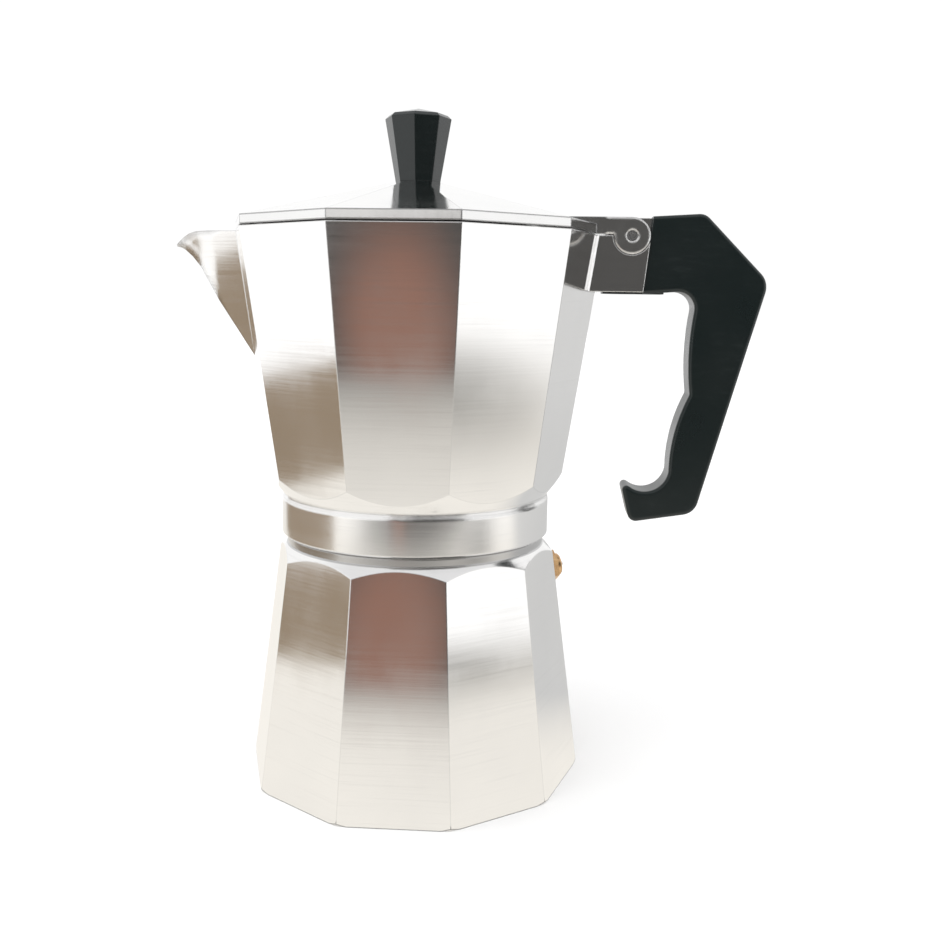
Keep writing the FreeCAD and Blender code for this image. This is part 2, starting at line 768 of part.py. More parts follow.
def make_chamber():
    walls = frustum("chamber_walls", "side_count", [
        ("chamber_base_radius", "chamber_base_z"),
        ("chamber_rim_radius", "rim_z"),
    ])
    # The cone above the collar trims the facets to scallops.
    envelope = turned("chamber_turning", [
        ("0", "chamber_base_z"),
        ("collar_radius - 1.15", "chamber_base_z"),
        ("collar_radius - 0.75", "collar_top_z"),
        ("collar_radius + 18.2", "collar_top_z + 25.5"),
        ("collar_radius + 18.2", "rim_z"),
        ("0", "rim_z"),
    ])
    collar = turned("chamber_collar", [
        ("0", "collar_bottom_z"),
        ("collar_radius - 0.6", "collar_bottom_z"),
        ("collar_radius", "collar_bottom_z + 0.6"),
        ("collar_radius", "collar_top_z - 1.4", "collar_radius - 0.2", "collar_top_z - 0.55"),
        ("collar_radius - 0.75", "collar_top_z"),
        ("0", "collar_top_z"),
    ])
    pot = fuse("chamber_pot", [common("chamber_facets", walls, envelope), collar])
    spout = spout_loft("spout_outside", "0", "0")
    joined = fuse("chamber_joined", [pot, spout, make_lug()])
    document.recompute()
    outside = document.addObject("Part::Fillet", "chamber_outside")
    outside.Base = joined
    outside.Edges = [
        (number, size("lug_fillet"), size("lug_fillet"))
        for number, edge in enumerate(joined.Shape.Edges, 1)
        if is_lug_root(edge)
    ]

    hollow = frustum("chamber_hollow", "side_count", [
        (chamber_radius("chamber_floor_z") + " - chamber_wall", "chamber_floor_z"),
        (chamber_radius("rim_z + 12") + " - chamber_wall", "rim_z + 12"),
    ])
    hollow_limit = turned("chamber_hollow_turning", [
        ("0", "chamber_floor_z"),
        ("collar_radius - 3", "chamber_floor_z"),
        ("collar_radius + 18", "chamber_floor_z + 21"),
        ("collar_radius + 18", "rim_z + 12"),
        ("0", "rim_z + 12"),
    ])
    underside = turned("chamber_underside", [
        ("0", "collar_bottom_z - 1"),
        ("thread_bore_radius", "collar_bottom_z - 1"),
        ("thread_bore_radius", "gasket_bottom_z + 0.4"),
        ("gasket_recess_radius", "gasket_bottom_z + 0.4"),
        ("gasket_recess_radius", "gasket_top_z + 0.05"),
        ("plate_recess_radius", "gasket_top_z + 0.05"),
        ("plate_recess_radius", "gasket_top_z + plate_thickness + 0.05"),
        ("gasket_bore_radius + 0.6", "gasket_top_z + plate_thickness + 0.05"),
        ("gasket_bore_radius - 4", "chamber_ceiling_z"),
        ("0", "chamber_ceiling_z"),
    ])
    column_bore = cylinder(
        "chamber_column_bore", "column_spigot_radius", "through_length", z="chamber_floor_z - 10",
    )
    channel = spout_loft("spout_channel", "spout_wall", "8")
    lug_channel = box(
        "lug_channel", ("tongue_start_x - 0.2", "lug_end_low_x + 10"),
        ("0 - channel_half_width", "channel_half_width"), ("lug_bottom_z - 5", "channel_top_z"),
    )
    screw_bore = cylinder(
        "lug_screw_bore", "handle_screw_radius", "handle_screw_top_z + 0.4 - lug_bottom_z",
        x="handle_screw_x", z="lug_bottom_z",
    )
    pockets = [
        ear_clearance("left_pocket", "web_half_width", "lug_half_width + 2"),
        ear_clearance("right_pocket", "0 - lug_half_width - 2", "0 - web_half_width"),
    ]
    pin_bore = cross_cylinder("lug_pin_bore", "pin_radius", "lug_half_width + 4", "hinge_x", "hinge_z")
    room = common("chamber_room", hollow, hollow_limit)
    openings = fuse("chamber_openings", [
        room, underside, column_bore, channel, lug_channel, screw_bore, pin_bore,
    ] + pockets)
    keep(cut("upper_chamber_casting", outside, openings), "upper_chamber")


def make_column():
    tube = turned("coffee_column_tube", [
        ("column_bore_radius", "chamber_ceiling_z"),
        ("column_spigot_radius", "chamber_ceiling_z"),
        ("column_spigot_radius", "chamber_floor_z + 0.02"),
        ("column_skirt_radius", "chamber_floor_z + 0.02"),
        ("column_skirt_radius", "chamber_floor_z + 0.8",
         "column_radius + 2.6", "chamber_floor_z + 7"),
        ("column_radius + 0.9", "chamber_floor_z + 18"),
        ("column_radius", "column_top_z - 2"),
        ("column_radius - 1.6", "column_top_z"),
        ("0", "column_top_z"),
        ("0", "column_top_z - 3"),
        ("column_bore_radius", "column_top_z - 4"),
    ])
    window = box(
        "column_window", ("0 - column_window_width / 2", "column_window_width / 2"),
        ("0 - column_radius - 3", "column_radius + 3"),
        ("column_window_bottom_z", "column_window_top_z"),
    )
    keep(cut("coffee_column_windowed", tube, window), "coffee_column")


# ----------------------------------------------------------------------------------------------
# Lid, hinge pin and knob
# ----------------------------------------------------------------------------------------------

def make_lid():
    roof = frustum("lid_roof", "side_count", [
        ("lid_radius", "lid_bottom_z"),
        ("lid_radius", "lid_rim_z"),
        ("lid_seat_radius", "lid_seat_z"),
    ])
    hollow = frustum("lid_hollow", "side_count", [
        ("lid_radius - lid_wall - 0.4", "lid_bottom_z - 1"),
        ("lid_radius - lid_wall - 0.4", "lid_rim_z - lid_wall"),
        ("lid_seat_radius", "lid_seat_z - lid_wall"),
    ])
    arms = box(
        "lid_arms", ("lid_radius - 11", "hinge_x"), ("0 - lug_half_width", "lug_half_width"),
        ("lid_bottom_z", "hinge_z + ear_radius"),
    )
    drum = cross_cylinder("lid_ear_drum", "ear_radius", "lug_half_width", "hinge_x", "hinge_z")
    web_room = box(
        "lid_web_room", ("lid_radius + 0.1", "hinge_x + 10"),
        ("0 - ear_inner_half_width", "ear_inner_half_width"), ("rim_z - 10", "rim_z + 10"),
    )
    pin_hole = cross_cylinder(
        "lid_pin_hole", "pin_radius + pin_clearance", "lug_half_width + 2", "hinge_x", "hinge_z",
    )
    screw_hole = cylinder(
        "lid_screw_hole", "knob_screw_radius + 0.1", "through_length", z="lid_seat_z - 10",
    )
    solid = fuse("lid_solid", [roof, arms, drum])
    removed = fuse("lid_removed", [hollow, web_room, pin_hole, screw_hole])
    keep(cut("lid_shell", solid, removed), "lid")

    pin = cross_cylinder("hinge_pin_rod", "pin_radius", "lug_half_width - 0.1", "hinge_x", "hinge_z")
    keep(pin, "hinge_pin")


def make_knob():
    grip = frustum("knob_grip", "knob_side_count", [
        ("knob_base_radius", "lid_seat_z + 0.02"),
        ("knob_top_radius", "knob_shoulder_z"),
        ("knob_crown_radius", "knob_crown_z"),
        ("0.4", "knob_apex_z"),
    ])
    bore = cylinder("knob_bore", "knob_screw_radius", "knob_bore_depth", z="lid_seat_z")
    keep(cut("knob_moulding", grip, bore), "knob")

    underside = "(lid_seat_z - lid_wall - 0.02)"
    washer = turned("knob_washer_ring", [
        ("knob_screw_radius + 0.2", f"{underside} - knob_washer_thickness"),
        ("knob_washer_radius", f"{underside} - knob_washer_thickness"),
        ("knob_washer_radius", underside),
        ("knob_screw_radius + 0.2", underside),
    ])
    keep(washer, "knob_washer")

    seat = f"({underside} - knob_washer_thickness - 0.02)"
    screw = turned("knob_screw_blank", [
        ("0", f"{seat} - knob_screw_head_height + 1.1"),
        ("0.9", f"{seat} - knob_screw_head_height + 1.1"),
        ("0.9", f"{seat} - knob_screw_head_height"),
        ("knob_screw_head_radius - 0.7", f"{seat} - knob_screw_head_height"),
        ("knob_screw_head_radius", f"{seat} - knob_screw_head_height + 0.8"),
        ("knob_screw_head_radius", seat),
        ("knob_screw_radius", seat),
        ("knob_screw_radius", "lid_seat_z + knob_bore_depth - 1"),
        ("0", "lid_seat_z + knob_bore_depth - 1"),
    ])
    keep(screw, "knob_screw")


# ----------------------------------------------------------------------------------------------
# Handle and its screw
# ----------------------------------------------------------------------------------------------

def upright_edge_at(x, z):
    """Picks the edge along Y that passes a point of the handle's outline."""
    spot_x = size(x)
    spot_z = size(z)

    def wanted(edge):
        ends = [vertex.Point for vertex in edge.Vertexes]
        return len(ends) == 2 and all(
            abs(end.x - spot_x) < 0.01 and abs(end.z - spot_z) < 0.01 for end in ends
        )
    return wanted


def make_handle():
    grip = slab("handle_grip", handle_outline(), "handle_half_width")
    corners = [
        ("handle_back_x", "handle_back_z", "back_radius"),
        ("elbow_x", "elbow_z", "elbow_radius"),
        ("heel_x", "heel_z", "heel_radius"),
        ("toe_x", "toe_z", "toe_radius"),
        ("hook_tip_x", "hook_tip_z", "hook_tip_radius"),
        ("armpit_x", "armpit_z", "armpit_radius"),
        ("notch_x", "notch_z", "notch_radius"),
        ("hook_end_x", "hook_end_z", "hook_end_radius"),
    ]
    for number, (x, z, radius) in enumerate(corners):
        fillet_body(grip, f"handle_corner_{number}", radius, upright_edge_at(x, z))

    side = size("handle_half_width")
    face_x = size("lug_end_top_x") + 0.2

    def on_side(edge):
        centre = edge.BoundBox.Center
        flat = edge.BoundBox.YLength < 0.01 and abs(abs(centre.y) - side) < 0.01
        return flat and not (centre.x < face_x and centre.z > size("arm_bottom_z"))
    fillet_body(grip, "handle_rounding", "handle_edge_radius", on_side)

    tongue = box(
        "handle_tongue", ("tongue_start_x", "lug_end_top_x + 4"),
        ("0 - tongue_half_width", "tongue_half_width"), ("tongue_bottom_z", "tongue_top_z"),
    )
    screw_hole = cylinder(
        "handle_screw_hole", "handle_screw_radius + 0.2", "through_length",
        x="handle_screw_x", z="tongue_bottom_z - 5",
    )
    recess = cylinder(
        "handle_screw_recess", "handle_screw_head_radius + 0.3", "5 + handle_screw_recess",
        x="handle_screw_x", z="tongue_bottom_z - 5",
    )
    solid = fuse("handle_solid", [grip, tongue])
    keep(cut("handle_moulding", solid, fuse("handle_removed", [screw_hole, recess])), "handle")

    seat = "(tongue_bottom_z + handle_screw_recess - 0.02)"
    screw = turned("handle_screw_blank", [
        ("0", f"{seat} - handle_screw_head_height + 1.2"),
        ("1", f"{seat} - handle_screw_head_height + 1.2"),
        ("1", f"{seat} - handle_screw_head_height"),
        ("handle_screw_head_radius - 0.8", f"{seat} - handle_screw_head_height"),
        ("handle_screw_head_radius", f"{seat} - handle_screw_head_height + 0.9"),
        ("handle_screw_head_radius", seat),
        ("handle_screw_radius", seat),
        ("handle_screw_radius", "handle_screw_top_z"),
        ("0", "handle_screw_top_z"),
    ])
    bind(screw, Placement__Base__x="handle_screw_x")
    keep(screw, "handle_screw")


def handle_outline():
    """The handle in its own plane, from the lug round the outside of the finger loop."""
    return [
        (lug_end("arm_bottom_z") + " + handle_gap", "arm_bottom_z"),
        ("armpit_x", "armpit_z", "upper_swell_x", "upper_swell_z"),
        ("notch_x", "notch_z", "lower_swell_x", "lower_swell_z"),
        ("hook_end_x", "hook_end_z", "hook_throat_x", "hook_throat_z"),
        ("hook_tip_x + 3", "hook_tip_z - 1.7"),
        ("hook_tip_x", "hook_tip_z"),
        ("toe_x", "toe_z"),
        ("heel_x", "heel_z"),
        ("elbow_x", "elbow_z"),
        ("handle_back_x", "handle_back_z"),
        (lug_end("handle_top_z") + " + handle_gap", "handle_top_z"),
    ]


# ----------------------------------------------------------------------------------------------
# Build, check and write
# ----------------------------------------------------------------------------------------------

def check_document():
    """Stop if any object failed, or any sub-part is empty or broken."""
    for item in document.Objects:
        if "Invalid" in item.State or "Error" in item.State:
            raise RuntimeError(f"{item.Label} did not build: {item.State}")
    for item in nodes:
        if item.Shape.isNull() or not item.Shape.isValid() or item.Shape.Volume <= 0:
            raise RuntimeError(f"{item.Label} has no valid shape")


def write_parts():
    os.makedirs("parts", exist_ok=True)
    for item in nodes:
        item.Shape.exportStep(f"parts/{item.Label}.step")
        limits = item.Shape.BoundBox
        print(
            f"{item.Label:16s} {len(item.Shape.Solids)} solid  {item.Shape.Volume:10.1f} mm3"
            f"  X {limits.XMin:.1f}..{limits.XMax:.1f}"
            f"  Y {limits.YMin:.1f}..{limits.YMax:.1f}  Z {limits.ZMin:.1f}..{limits.ZMax:.1f}"
        )


make_boiler()
make_valve()
make_funnel()
make_seal()
make_chamber()
make_column()
make_lid()
make_knob()
make_handle()
document.recompute()
check_document()
write_parts()
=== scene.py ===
import math

import bpy
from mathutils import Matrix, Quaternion, Vector

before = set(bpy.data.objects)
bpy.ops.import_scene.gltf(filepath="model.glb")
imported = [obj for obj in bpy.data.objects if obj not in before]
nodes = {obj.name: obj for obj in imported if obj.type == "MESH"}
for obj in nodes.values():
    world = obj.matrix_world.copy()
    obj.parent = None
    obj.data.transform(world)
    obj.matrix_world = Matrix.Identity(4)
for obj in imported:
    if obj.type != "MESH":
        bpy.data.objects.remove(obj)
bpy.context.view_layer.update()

# Places on the pot that its finishes follow. Lengths are in metres, but for the camera's lens.
NECK_RING = (0.0726, 0.0756)  # z, the turned ring between boiler and collar
COLLAR = (0.0726, 0.0872)  # z, everything turned: the neck ring and the round collar above it
GROOVE = (0.0865, 0.0890)  # z, the step between the collar and the chamber's wall
FOOT_SHADE_LINE = (0.001, 0.002)  # z, where the painted contact shade line at the foot gives way to fainter painted edge shade
BEAK = (-0.062, -0.058)  # x, where the front of the spout gives way to everything behind it
LID_EARS = (0.0555, 0.0565)  # x, where the lid's roof gives way to its hinge ears

# A sharp edge bends its rounded normal away from the true one. These are the dot products of
# the two at a full edge line and at none.
EDGE_FULL = 0.9962
EDGE_NONE = 0.9997

BEVEL_SAMPLES = 6


def rgb(red, green, blue):
    return (red, green, blue, 1.0)


def grey(level):
    return rgb(level, level, level)


# ------------------------------------------------------------------------------------------
# Node helpers
# ------------------------------------------------------------------------------------------

class Shader:
    """A Principled material and short calls for the nodes that feed it."""

    def __init__(self, name, metallic, ior=1.5):
        self.material = bpy.data.materials.new(name)
        self.material.use_nodes = True
        self.tree = self.material.node_tree
        self.surface = self.tree.nodes["Principled BSDF"]
        self.surface.inputs["Metallic"].default_value = metallic
        self.surface.inputs["IOR"].default_value = ior
        coordinates = self.tree.nodes.new("ShaderNodeTexCoord")
        self.object_place = coordinates.outputs["Object"]
        self.object_normal = coordinates.outputs["Normal"]

    def link(self, source, target):
        self.tree.links.new(source, target)

    def feed(self, socket, value):
        """Link an output, or set a plain value, on an input socket."""
        if isinstance(value, bpy.types.NodeSocket):
            self.link(value, socket)
        else:
            socket.default_value = value

    def set(self, name, value):
        self.feed(self.surface.inputs[name], value)

    def math(self, operation, first, second, third=0.0):
        node = self.tree.nodes.new("ShaderNodeMath")
        node.operation = operation
        for socket, value in zip(node.inputs, (first, second, third)):
            self.feed(socket, value)
        return node.outputs["Value"]

    def vector(self, operation, first, second=(0.0, 0.0, 0.0)):
        node = self.tree.nodes.new("ShaderNodeVectorMath")
        node.operation = operation
        self.feed(node.inputs[0], first)
        self.feed(node.inputs[1], second)
        return node.outputs["Value" if operation in ("DOT_PRODUCT", "LENGTH") else "Vector"]

    def scaled(self, scale):
        """Object coordinates stretched by one factor along each axis."""
        return self.vector("MULTIPLY", self.object_place, scale)

    def split(self, vector):
        node = self.tree.nodes.new("ShaderNodeSeparateXYZ")
        self.link(vector, node.inputs[0])
        return node.outputs

    def joined(self, x, y, z):
        node = self.tree.nodes.new("ShaderNodeCombineXYZ")
        for socket, value in zip(node.inputs, (x, y, z)):
            self.feed(socket, value)
        return node.outputs["Vector"]

    def noise(self, scale, vector=None, detail=3.0, rough=0.55):
        node = self.tree.nodes.new("ShaderNodeTexNoise")
        self.link(vector or self.object_place, node.inputs["Vector"])
        node.inputs["Scale"].default_value = scale
        node.inputs["Detail"].default_value = detail
        node.inputs["Roughness"].default_value = rough
        return node.outputs["Fac"]

    def remap(self, value, low, high, to_low, to_high, interpolation="LINEAR"):
        """Carry low..high over to to_low..to_high, held at both ends."""
        node = self.tree.nodes.new("ShaderNodeMapRange")
        node.interpolation_type = interpolation
        self.feed(node.inputs["Value"], value)
        self.feed(node.inputs["From Min"], low)
        self.feed(node.inputs["From Max"], high)
        self.feed(node.inputs["To Min"], to_low)
        self.feed(node.inputs["To Max"], to_high)
        return node.outputs["Result"]

    def band(self, value, span, fade):
        """1 inside the span of low and high, fading to 0 outside it."""
        low, high = span
        rising = self.remap(value, low - fade, low, 0.0, 1.0)
        falling = self.remap(value, high, high + fade, 1.0, 0.0)
        return self.math("MULTIPLY", rising, falling)

    def mix(self, factor, first, second):
        node = self.tree.nodes.new("ShaderNodeMix")
        node.data_type = "RGBA"
        self.feed(node.inputs["Factor"], factor)
        self.feed(node.inputs["A"], first)
        self.feed(node.inputs["B"], second)
        return node.outputs["Result"]

    def bump(self, height, distance, strength, after=None):
        """A normal bent by this height, on top of an earlier one if given."""
        node = self.tree.nodes.new("ShaderNodeBump")
        node.inputs["Distance"].default_value = distance
        node.inputs["Strength"].default_value = strength
        self.link(height, node.inputs["Height"])
        if after:
            self.link(after, node.inputs["Normal"])
        return node.outputs["Normal"]

    def eased(self, radius):
        """A normal that rounds sharp edges over this radius."""
        node = self.tree.nodes.new("ShaderNodeBevel")
        node.samples = BEVEL_SAMPLES
        self.feed(node.inputs["Radius"], radius)
        return node.outputs["Normal"]

    def edges(self, radius, strength):
        """Strength along sharp edges, fading to 0 within this radius."""
        geometry = self.tree.nodes.new("ShaderNodeNewGeometry")
        flatness = self.vector("DOT_PRODUCT", self.eased(radius), geometry.outputs["True Normal"])
        return self.math("MULTIPLY", self.remap(flatness, EDGE_FULL, EDGE_NONE, 1.0, 0.0), strength)

    def brushed_round_z(self, amount, turn=0.25):
        """Stretch reflections across brush lines that run round the Z axis."""
        tangent = self.tree.nodes.new("ShaderNodeTangent")
        tangent.direction_type = "RADIAL"
        tangent.axis = "Z"
        self.link(tangent.outputs["Tangent"], self.surface.inputs["Tangent"])
        self.set("Anisotropic", amount)
        self.set("Anisotropic Rotation", turn)


# ------------------------------------------------------------------------------------------
# Materials
# ------------------------------------------------------------------------------------------

def cast_aluminium(name, polish, lines, grain):
    """Polished aluminium casting: level linishing lines outside, satin as cast inside."""
    s = Shader(name, 1.0)
    x, y, z = s.split(s.object_place)
    # Level scratches: noise stretched round the pot, coarse and fine.
    coarse = s.noise(1.0, s.scaled((26.0, 26.0, 1500.0)), 4.0, 0.6)
    fine = s.noise(1.0, s.scaled((60.0, 60.0, 5200.0)), 2.0, 0.5)
    cloud = s.noise(18.0, detail=4.0)
    haze = s.noise(55.0, s.scaled((1.0, 1.0, 0.45)), 5.0, 0.6)
    wave = s.noise(26.0, s.scaled((1.0, 1.0, 0.6)), 2.0, 0.4)
    # Inside faces look towards the axis.
    normal_x, normal_y, _ = s.split(s.object_normal)
    outward = s.math("ADD", s.math("MULTIPLY", normal_x, x), s.math("MULTIPLY", normal_y, y))
    inside = s.remap(outward, -0.004, 0.0, 1.0, 0.0)
    # The round collar and the neck ring below it are turned, not buffed. The neck ring is also
    # darkened with painted shade.
    collar = s.band(z, COLLAR, 0.0004)
    neck_ring_shade = s.band(z, NECK_RING, 0.0002)

    rough = s.remap(coarse, 0.3, 0.7, polish - lines, polish + lines)
    rough = s.math("ADD", rough, s.remap(haze, 0.45, 0.75, 0.0, 0.05))
    rough = s.math("MULTIPLY_ADD", inside, 0.22, rough)
    rough = s.math("MULTIPLY_ADD", collar, 0.08, rough)
    s.set("Roughness", rough)

    cloudy = s.remap(cloud, 0.35, 0.7, 0.0, 1.0)
    tint = s.mix(cloudy, rgb(0.925, 0.918, 0.908), rgb(0.87, 0.865, 0.86))
    tint = s.mix(s.remap(coarse, 0.55, 0.8, 0.0, 0.25), tint, rgb(0.72, 0.715, 0.71))
    # Painted shade: the neck ring darkened to grey, standing for the shadow in the joint under the
    # collar.
    tint = s.mix(s.math("MULTIPLY", neck_ring_shade, 0.75), tint, grey(0.45))
    # Painted shade: thin dark lines, strong where the foot meets the table as a painted contact
    # shadow, faint along the other edges.
    edge_shade_strength = s.remap(z, *FOOT_SHADE_LINE, 0.95, 0.12)
    tint = s.mix(s.edges(0.0004, edge_shade_strength), tint, grey(0.08))
    s.set("Base Color", tint)

    # Edges are crisp, but the beak and the collar's upper edge are blended.
    beak = s.remap(x, *BEAK, 0.0035, 0.00045)
    groove = s.math("MULTIPLY", s.band(z, GROOVE, 0.0008), 0.0014)
    relief = s.bump(wave, 0.00010, 1.0, s.eased(s.math("ADD", beak, groove)))
    relief = s.bump(coarse, 0.000006, grain, relief)
    relief = s.bump(fine, 0.000002, grain, relief)
    s.set("Normal", relief)
    s.brushed_round_z(0.55, s.remap(collar, 0.0, 1.0, 0.25, 0.0))
    return s.material


def lid_aluminium(name):
    """Buffed lid, close to a mirror, with hairline scratches and a faint haze."""
    s = Shader(name, 1.0)
    x = s.split(s.object_place)["X"]
    hair = s.noise(1.0, s.scaled((900.0, 60.0, 300.0)), 3.0, 0.6)
    haze = s.noise(40.0, detail=5.0, rough=0.6)
    wave = s.noise(30.0, detail=2.0, rough=0.4)
    hazy = s.remap(haze, 0.4, 0.75, 0.07, 0.16)
    s.set("Roughness", s.math("ADD", hazy, s.remap(hair, 0.5, 0.8, 0.0, 0.06)))
    # Painted shade: the roof's ridges and rim show as fine grey lines.
    tint = s.mix(s.remap(haze, 0.35, 0.7, 0.0, 1.0), rgb(0.93, 0.927, 0.92), rgb(0.89, 0.887, 0.88))
    ridge_shade_strength = s.remap(x, *LID_EARS, 0.85, 0.0)
    s.set("Base Color", s.mix(s.edges(0.0006, ridge_shade_strength), tint, grey(0.22)))
    # The hinge ears have a wider rounded edge, which catches the light.
    relief = s.bump(wave, 0.00008, 1.0, s.eased(s.remap(x, *LID_EARS, 0.0006, 0.0013)))
    s.set("Normal", s.bump(hair, 0.000004, 0.6, relief))
    return s.material


def spun_aluminium(name):
    """Satin pressed or spun sheet, with rings round the axis."""
    s = Shader(name, 1.0)
    x, y, z = s.split(s.object_place)
    rings_per_metre = 2600.0
    radius = s.vector("LENGTH", s.joined(x, y, 0.0))
    across = s.math("MULTIPLY", radius, rings_per_metre)
    along = s.math("MULTIPLY", z, rings_per_metre)
    rings = s.noise(1.0, s.joined(across, 0.0, along), 3.0, 0.6)
    cloud = s.noise(60.0, detail=4.0)
    ringed = s.remap(rings, 0.3, 0.7, 0.26, 0.38)
    s.set("Roughness", s.math("ADD", ringed, s.remap(cloud, 0.4, 0.8, 0.0, 0.08)))
    s.set("Base Color", s.mix(cloud, grey(0.80), rgb(0.68, 0.68, 0.69)))
    s.set("Normal", s.bump(rings, 0.00002, 0.5))
    s.brushed_round_z(0.4)
    return s.material


def turned_metal(name, bright, dull, rough):
    """Machined metal with fine turning marks and darker patches."""
    s = Shader(name, 1.0)
    marks = s.noise(2400.0, detail=2.0)
    patches = s.noise(260.0, detail=5.0, rough=0.65)
    s.set("Base Color", s.mix(s.remap(patches, 0.4, 0.7, 0.0, 1.0), bright, dull))
    marked = s.remap(marks, 0.3, 0.7, rough - 0.05, rough + 0.08)
    s.set("Roughness", s.math("ADD", marked, s.remap(patches, 0.5, 0.8, 0.0, 0.12)))
    s.set("Normal", s.bump(marks, 0.00001, 0.6))
    return s.material


def moulded_black(name, colour, worn, rough, grain, edge):
    """Black thermoset moulding: fine grain, hairline rubs and paler, duller high spots."""
    s = Shader(name, 0.0)
    pebble = s.noise(1900.0, detail=3.0, rough=0.6)
    rub = s.noise(1.0, s.scaled((160.0, 160.0, 700.0)), 4.0, 0.65)
    cloud = s.noise(45.0, detail=4.0)
    rubbed = s.remap(rub, 0.52, 0.78, 0.0, 1.0)
    worn_mask = s.math("MULTIPLY", rubbed, s.remap(cloud, 0.4, 0.7, 0.2, 1.0))
    s.set("Base Color", s.mix(worn_mask, colour, worn))
    cloudy = s.remap(cloud, 0.35, 0.7, rough - 0.03, rough + 0.06)
    s.set("Roughness", s.math("ADD", cloudy, s.math("MULTIPLY", worn_mask, 0.10)))
    s.set("Normal", s.bump(pebble, 0.00002, grain, s.eased(edge)))
    return s.material


def moulded_rubber(name, light, dark):
    """Matt rubber with a fine bloom."""
    s = Shader(name, 0.0, 1.45)
    bloom = s.noise(320.0, detail=5.0, rough=0.65)
    pores = s.noise(2600.0, detail=2.0)
    s.set("Base Color", s.mix(s.remap(bloom, 0.35, 0.7, 0.0, 1.0), light, dark))
    s.set("Roughness", s.remap(bloom, 0.3, 0.7, 0.52, 0.72))
    s.set("Normal", s.bump(pores, 0.00003, 0.5))
    return s.material


def finish(material, *names):
    """Give these CAD nodes this one material."""
    for name in names:
        mesh = nodes[name].data
        mesh.materials.clear()
        mesh.materials.append(material)


finish(
    cast_aluminium("cast_aluminium", polish=0.10, lines=0.025, grain=0.4),
    "boiler_body", "upper_chamber",
)
finish(lid_aluminium("lid_aluminium"), "lid")
finish(
    spun_aluminium("spun_aluminium"),
    "coffee_column", "funnel_basket", "funnel_stem", "basket_sieve", "filter_plate",
)
finish(
    turned_metal("turned_brass", rgb(0.78, 0.52, 0.27), rgb(0.52, 0.30, 0.16), 0.26),
    "valve_body", "valve_cap",
)
finish(
    turned_metal("turned_steel", rgb(0.72, 0.72, 0.73), rgb(0.55, 0.55, 0.56), 0.24),
    "valve_plunger", "valve_spring", "knob_screw", "knob_washer", "hinge_pin", "handle_screw",
)
finish(
    moulded_black("handle_plastic", colour=rgb(0.0045, 0.0100, 0.0100),
                  worn=rgb(0.010, 0.017, 0.017), rough=0.30, grain=0.35, edge=0.0005),
    "handle",
)
finish(
    moulded_black("knob_plastic", colour=rgb(0.008, 0.012, 0.012),
                  worn=rgb(0.016, 0.020, 0.020), rough=0.12, grain=0.12, edge=0.0004),
    "knob",
)
finish(moulded_rubber("gasket_rubber", rgb(0.82, 0.81, 0.77), rgb(0.70, 0.68, 0.63)), "gasket")
finish(moulded_rubber("valve_rubber", rgb(0.30, 0.08, 0.05), rgb(0.20, 0.05, 0.035)), "valve_seal")


# ------------------------------------------------------------------------------------------
# Stage: floor, cards that only polish reflects, sky and lamp
# ------------------------------------------------------------------------------------------

ONE_FACE = [(0, 1, 2, 3)]


def stage_piece(name, corners, faces, material):
    mesh = bpy.data.meshes.new(name)
    mesh.from_pydata(corners, [], faces)
    mesh.materials.append(material)
    piece = bpy.data.objects.new(name, mesh)
    bpy.context.scene.collection.objects.link(piece)
    return piece


def card(name, corners, faces, material):
    """A stage piece that only polish and gloss see, with no part in soft light or shadow."""
    piece = stage_piece(name, corners, faces, material)
    piece.visible_camera = False
    piece.visible_diffuse = False
    piece.visible_shadow = False


def upright(x0, y0, x1, y1, high):
    """Corners of an upright card on the table, over the line from (x0, y0) to (x1, y1)."""
    return [(x0, y0, 0.0), (x1, y1, 0.0), (x1, y1, high), (x0, y0, high)]


def level(reach, height):
    """Corners of a level square round the pot, this far to each side."""
    return [(-reach, -reach, height), (reach, -reach, height),
            (reach, reach, height), (-reach, reach, height)]


class Glow(Shader):
    """An emission material for a card."""

    def __init__(self, name):
        super().__init__(name, 0.0)
        self.tree.nodes.remove(self.surface)
        self.emission = self.tree.nodes.new("ShaderNodeEmission")
        out = self.tree.nodes["Material Output"]
        self.link(self.emission.outputs["Emission"], out.inputs["Surface"])

    def blob(self, centre, radii, inner, outer):
        """1 inside a soft ellipsoid and 0 outside it."""
        away = self.vector("SUBTRACT", self.object_place, centre)
        away = self.vector("MULTIPLY", away, tuple(1.0 / radius for radius in radii))
        return self.remap(self.vector("LENGTH", away), inner, outer, 1.0, 0.0, "SMOOTHSTEP")

    def ramp(self, value, stops):
        """Greys at these positions between 0 and 1, blended in between."""
        node = self.tree.nodes.new("ShaderNodeValToRGB")
        self.link(value, node.inputs["Fac"])
        elements = node.color_ramp.elements
        while len(elements) < len(stops):
            elements.new(0.5)
        for element, (position, brightness) in zip(elements, stops):
            element.position = position
            element.color = grey(brightness)
        return node.outputs["Color"]


def build_floor():
    s = Shader("floor_paint", 0.0)
    cloud = s.noise(6.0, detail=3.0)
    s.set("Base Color", s.mix(cloud, grey(0.90), grey(0.88)))
    s.set("Roughness", s.remap(cloud, 0.3, 0.7, 0.55, 0.65))
    stage_piece("floor", level(6.0, 0.0), ONE_FACE, s.material)


